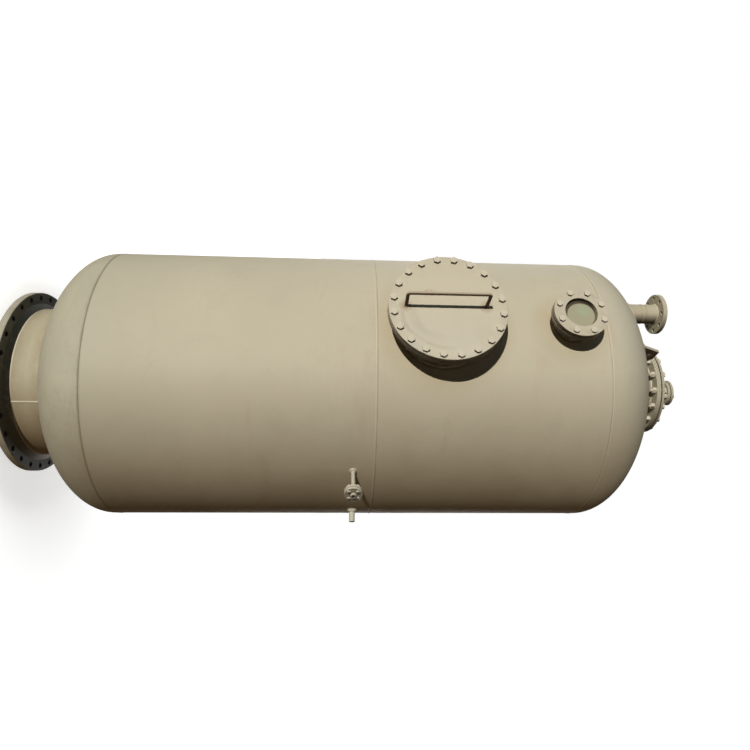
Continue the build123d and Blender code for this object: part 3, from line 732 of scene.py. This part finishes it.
# Seam between the barrel and the neck of the base flange
hubTop = barrelLow.z
path = ringPath(up * hubTop, up, barrelRadius, weldLook["ringStep"])
addBead("hubWeld", path, fromAxis, weldLook["hubSeam"])
print("stage: seams and neck welds")


# A weld in the corner between a neck and a flange or pad that stands square to it
def cornerWeld(name, centre, axis, radius, size, slot="flange_paint", finish=beadPaint):
    spread = weldLook["inCorner"]
    axis = axis.normalized()
    away = size * spread["away"]

    def outward(point):
        beside = point - centre
        beside = (beside - axis * beside.dot(axis)).normalized()
        return beside + axis

    path = ringPath(centre + axis * away, axis, radius + away)
    addBead(name, path, outward, (size * spread["width"], size * spread["height"]), finish)


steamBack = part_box("steam_flange")[0].z
gaugeRadius = halfHeight("gauge_neck")
gaugeHeight = up * gaugeMiddle.z
cornerWeld("manholeFlangeWeld", Vector((0, manFlangeHigh.y, manMiddle.z)), -front, manRadius, 0.008)
cornerWeld("sideFlangeWeld", Vector((0, sideFlangeHigh.y, sideMiddle.z)), -front, sideRadius, 0.006)
cornerWeld("topFlangeWeld", up * topFlangeLow.z, -up, topNeckRadius, 0.008)
cornerWeld("steamFlangeWeld", Vector((steamMiddle.x, steamMiddle.y, steamBack)), -up, steamRadius, 0.006)
cornerWeld("ventFlangeWeld", ventAt + up * ventFlangeLow.z, -up, ventHigh.y, 0.005)
cornerWeld("ventFootWeld", ventAt + up * topCoverHigh.z, up, ventHigh.y, 0.005)
cornerWeld("gaugeFlangeWeld", gaugeWay * gaugeReach["back"] + gaugeHeight, -gaugeWay, gaugeRadius, 0.004,
           **fittingPart)
cornerWeld("gaugeNeckWeld", gaugeWay * gaugeReach["boss"] + gaugeHeight, gaugeWay, gaugeRadius, 0.004,
           **fittingPart)
drainFace = Vector((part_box("drain_boss")[1].x, 0, drainMiddle.z))
cornerWeld("drainPipeWeld", drainFace, drainWay, halfHeight("drain_pipe"), 0.004, **fittingPart)
for name, z in (("handleTopWeld", handleHigh.z - barRadius), ("handleBottomWeld", handleLow.z + barRadius)):
    cornerWeld(name, Vector((handleX, coverLow.y, z)), front, barRadius, 0.005, **handlePart)

# Fillets all round the feet of the lifting lugs, on the curve of the head
lugLook = {"across": 0.200, "thick": 0.016, "reach": 0.500, "away": 0.0016, "bead": (0.012, 0.0044)}
sideSteps, endSteps = 50, 8
for name, way in (("frontLugWeld", -1), ("backLugWeld", 1)):
    half = lugLook["thick"] / 2 + lugLook["away"]
    far = lugLook["across"] / 2
    outline = [(half, -far + 2 * far * i / sideSteps) for i in range(sideSteps + 1)]
    for i in range(1, endSteps):
        a = math.pi * i / endSteps
        outline.append((half * math.cos(a), far + half * math.sin(a)))
    outline += [(-x, -y) for x, y in outline]
    places = [(x, way * lugLook["reach"] + y) for x, y in outline]
    path = [Vector((x, y, domeHeight(math.hypot(x, y)))) for x, y in places]
    addBead(name, path, lambda p: Vector(((p.x > 0) - (p.x < 0), 0, 1)), lugLook["bead"], neckPaint)

# The barrel's long seam, a raised bead that starts at the neck of the base flange
barrelSeam = {"turn": 39.5, "topGap": 0.012, "steps": 44}
a = math.radians(barrelSeam["turn"])
seamFoot = Vector((math.sin(a), -math.cos(a), 0)) * barrelRadius
path = straightPath(seamFoot, hubTop, barrelHigh.z - barrelSeam["topGap"] - hubTop, barrelSeam["steps"])
addBead("barrelLongWeld", path, fromAxis, weldLook["raisedSeam"], closed=False)

# Girth weld of the steam pipe, with the heat tint beside it left to the paint of the pipe
path = ringPath(Vector((steamMiddle.x, steamMiddle.y, steamWeldAt)), up, steamRadius)
addBead("steamGirthWeld", path, lambda p: fromAxis(p - steamMiddle), weldLook["steamSeam"], pipePaint)
print("stage: flange welds")

# Hexagon bolts by size: across flats, head and nut heights, rod, thread pitch, washer's width and height
boltLook = {
    "M22": {"across": 0.034, "head": 0.0165, "nut": 0.0194, "rod": 0.022, "pitch": 0.0025,
            "washer": (0.039, 0.003)},
    "M20": {"across": 0.030, "head": 0.0125, "nut": 0.018, "rod": 0.020, "pitch": 0.0025,
            "washer": (0.037, 0.003)},
    "M16": {"across": 0.024, "head": 0.010, "nut": 0.0148, "rod": 0.016, "pitch": 0.002,
            "washer": (0.030, 0.003)},
    "M12": {"across": 0.018, "head": 0.0075, "nut": 0.0108, "rod": 0.012, "pitch": 0.0018,
            "washer": (0.024, 0.0025)},
}


# Stack of rings turned about an axis: each ring is a height and a radius for every step round
def turnedMesh(centre, axis, rings, spin=0.0):
    axis = axis.normalized()
    side = up if abs(axis.z) < 0.9 else Vector((1, 0, 0))
    side = Matrix.Rotation(spin, 3, axis) @ side
    other = axis.cross(side)
    count = len(rings[0][1])
    points, faces = [], []
    for heights, radii in rings:
        for k in range(count):
            a = 2 * math.pi * k / count
            high = heights[k] if isinstance(heights, list) else heights
            points.append(centre + axis * high + radii[k] * (math.cos(a) * side + math.sin(a) * other))
    for i in range(len(rings) - 1):
        a, b = i * count, (i + 1) * count
        for k in range(count):
            n = (k + 1) % count
            faces.append((a + k, a + n, b + n, b + k))
    faces.append(tuple(reversed(range(count))))
    faces.append(tuple(range((len(rings) - 1) * count, len(rings) * count)))
    return points, faces


# Hexagon with the rounded chamfer that a turning tool leaves on its corners
hexLook = {"crown": 0.96, "slope": 0.4, "footSlope": 0.5, "steps": 36}


def hexMesh(centre, axis, across, height, spin, bothEnds=False):
    half = across / 2
    count = hexLook["steps"]
    crown = half * hexLook["crown"]
    corner = [half / math.cos((2 * math.pi * k / count) % (math.pi / 3) - math.pi / 6) for k in range(count)]
    shoulder = [height - (r - crown) * hexLook["slope"] for r in corner]
    foot = [(r - crown) * hexLook["footSlope"] if bothEnds else 0.0 for r in corner]
    rings = [(foot, corner), (shoulder, corner), (height, [crown] * count)]
    if bothEnds:
        rings.insert(0, (0.0, [crown] * count))
    return turnedMesh(centre, axis, rings, spin)


def washerMesh(centre, axis, across, height, count=32):
    rim = [across / 2] * count
    soft = [across / 2 - height * 0.2] * count
    return turnedMesh(centre, axis, [(0.0, rim), (height * 0.8, rim), (height, soft)])


# Rod with its thread showing as close rings, and a chamfered tip
def threadMesh(centre, axis, radius, length, pitch, count=20):
    rings = [(0.0, [radius * 0.9] * count)]
    turns = max(2, int((length - 0.003) / pitch))
    for i in range(turns):
        rings.append((pitch * (i + 0.5), [radius] * count))
        rings.append((pitch * (i + 1.0), [radius * 0.88] * count))
    rings.append((pitch * turns + 0.002, [radius * 0.8] * count))
    return turnedMesh(centre, axis, rings)


def boltRing(name, size, centre, axis, radius, count, start, outer, inner, slot="flange_paint"):
    look = boltLook[size]
    thick = look["washer"][1]
    axis = axis.normalized()
    side = up if abs(axis.z) < 0.9 else Vector((1, 0, 0))
    other = axis.cross(side)
    heads, washers, nuts, tails = [], [], [], []
    for i in range(count):
        a = start + 2 * math.pi * i / count
        place = centre + radius * (math.cos(a) * side + math.sin(a) * other)
        headAt = place + axis * outer
        nutAt = place + axis * inner
        washers.append(washerMesh(nutAt, -axis, *look["washer"]))
        turn = math.pi / 6 + random.uniform(-0.22, 0.22)
        heads.append(hexMesh(headAt, axis, look["across"], look["head"], turn))
        turn = random.uniform(0, 1.0)
        nuts.append(hexMesh(nutAt - axis * thick, -axis, look["across"], look["nut"], turn, True))
        tip = look["rod"] * random.uniform(0.35, 0.6)
        tailAt = nutAt - axis * (thick + look["nut"] - 0.001)
        tails.append(threadMesh(tailAt, -axis, look["rod"] / 2, tip, look["pitch"]))
    for label, parts in (("Heads", heads), ("Washers", washers), ("Nuts", nuts), ("Tails", tails)):
        points, faces = joined(parts)
        addPiece(name + label, points, faces, boltPaint, 28)


# Each bolt circle, with the places of its heads and its nuts along the axis
boltRings = {
    "manholeBolts": {"size": "M22", "radius": 0.2825, "count": 20, "start": math.pi / 20,
                     "centre": up * manMiddle.z, "axis": front, "outer": -coverLow.y,
                     "inner": -manFlangeHigh.y},
    "topBolts": {"size": "M22", "radius": 0.2575, "count": 16, "start": math.radians(3.2),
                 "centre": axisFoot, "axis": up, "outer": topCoverHigh.z, "inner": topFlangeLow.z},
    "sideBolts": {"size": "M20", "radius": 0.120, "count": 8, "start": math.pi / 8,
                  "centre": up * sideMiddle.z, "axis": front, "outer": -sideRingLow.y,
                  "inner": -sideFlangeHigh.y},
    "ventBolts": {"size": "M16", "radius": 0.0625, "count": 4, "start": math.pi / 4,
                  "centre": ventAt, "axis": up, "outer": ventBlankHigh.z, "inner": ventFlangeLow.z},
    "gaugeBolts": {"size": "M12", "radius": 0.0325, "count": 4, "start": math.pi / 4,
                   "centre": gaugeHeight, "axis": gaugeWay, "outer": gaugeReach["front"],
                   "inner": gaugeReach["back"], "slot": "fitting_paint"},
}
for name, circle in boltRings.items():
    boltRing(name, **circle)
print("stage: bolts")

# The floor is white to the camera and dark to everything else, and throws no shadow on the base
floorLook = {"half": 40, "seen": (0.80, 0.80, 0.80), "unseen": (0.035, 0.03, 0.025), "glow": 0.62}
half = floorLook["half"]
floorMesh = bpy.data.meshes.new("floor")
corners = [(-half, -half, 0), (half, -half, 0), (half, half, 0), (-half, half, 0)]
floorMesh.from_pydata(corners, [], [(0, 1, 2, 3)])
floor = bpy.data.objects.new("floor", floorMesh)
bpy.context.scene.collection.objects.link(floor)
floor.visible_shadow = False
floorPaint = Finish("floorPaint")
cameraRay = floorPaint.add("ShaderNodeLightPath", {}, {}, out="Is Camera Ray")
floorPaint.set("Base Color", floorPaint.blend(cameraRay, floorLook["unseen"], floorLook["seen"]))
floorPaint.set("Roughness", 0.9)
floorPaint.set("Specular IOR Level", 0.0)
floorPaint.set("Emission Color", floorPaint.blend(cameraRay, (0, 0, 0), (1, 1, 1)))
floorPaint.set("Emission Strength", floorLook["glow"])
floorMesh.materials.append(floorPaint.material)

lightLook = {
    "sun": {"towards": (-0.03, -0.97, -0.240), "strength": 3.3, "spread": 0.6, "colour": (1.0, 0.965, 0.90)},
    "sky": {"towards": (-0.893, -0.449, 0.05), "strength": 0.34, "spread": 60, "colour": (0.80, 0.92, 1.0)},
    "back": {"towards": (-0.10, 0.99, 0.08), "strength": 1.7, "spread": 26, "colour": (1.0, 0.985, 0.96)},
    "left": {"towards": (-0.92, 0.38, 0.10), "strength": 0.8, "spread": 40, "colour": (1.0, 0.985, 0.96)},
    "side": {"towards": (0.95, 0.30, 0.15), "strength": 0.46, "spread": 50, "colour": (1.0, 0.74, 0.46)},
    "above": {"towards": (-0.1, -0.1, 1.0), "strength": 0.28, "spread": 60, "colour": (0.95, 0.98, 1.0)},
    "floor": {"towards": (-0.15, -0.25, 1.0), "strength": 1.8, "spread": 35, "colour": (1.0, 1.0, 1.0)},
}
ambientLook = {"colour": (0.45, 0.82, 1.0), "strength": 0.020}


def sunLamp(name, towards, strength, spread, colour):
    data = bpy.data.lights.new(name, "SUN")
    data.energy = strength
    data.angle = math.radians(spread)
    data.color = colour
    lamp = bpy.data.objects.new(name, data)
    bpy.context.scene.collection.objects.link(lamp)
    lamp.rotation_euler = Vector(towards).to_track_quat("Z", "Y").to_euler()
    return lamp


lamps = {name: sunLamp(name + "Lamp", **look) for name, look in lightLook.items()}

# The floor has a lamp of its own, so that its shadow is soft while the object keeps the outdoor contrast
floorOnly = bpy.data.collections.new("floorOnly")
floorOnly.objects.link(floor)
lamps["floor"].light_linking.receiver_collection = floorOnly

# The world is white to the camera and gives only a little light of its own
world = bpy.data.worlds.new("studio")
bpy.context.scene.world = world
world.use_nodes = True
world.node_tree.nodes.clear()
sky = Sheet(world.node_tree)
cameraRay = sky.add("ShaderNodeLightPath", {}, {}, out="Is Camera Ray")
glow = {"Color": ambientLook["colour"], "Strength": ambientLook["strength"]}
plain = sky.add("ShaderNodeBackground", {}, glow)
white = sky.add("ShaderNodeBackground", {}, {"Color": (1, 1, 1), "Strength": 1.0})
both = sky.add("ShaderNodeMixShader", {}, [cameraRay, plain, white])
sky.add("ShaderNodeOutputWorld", {}, {"Surface": both})

# The camera stands where the photograph was taken from, rolled so that the column lies on its side
cameraLook = {
    "at": (1.63361, -3.52702, 1.90478),
    "right": (0.0121048, -0.0584632, 0.9982162),
    "ahead": (-0.4364030, 0.8978877, 0.0578792),
    "lens": 28.587,
    "sensor": 36.0,
    "near": 0.05,
    "far": 200,
}
cameraData = bpy.data.cameras.new("camera")
cameraData.lens = cameraLook["lens"]
cameraData.sensor_width = cameraLook["sensor"]
cameraData.sensor_fit = "HORIZONTAL"
cameraData.clip_start = cameraLook["near"]
cameraData.clip_end = cameraLook["far"]
camera = bpy.data.objects.new("camera", cameraData)
bpy.context.scene.collection.objects.link(camera)
ahead = Vector(cameraLook["ahead"]).normalized()
right = Vector(cameraLook["right"]).normalized()
top = right.cross(ahead).normalized()
turned = Matrix((right, top, -ahead)).transposed().to_4x4()
camera.matrix_world = Matrix.Translation(Vector(cameraLook["at"])) @ turned
bpy.context.scene.camera = camera
bpy.context.scene.view_settings.view_transform = "Standard"
print("stage: floor, lamps and camera")
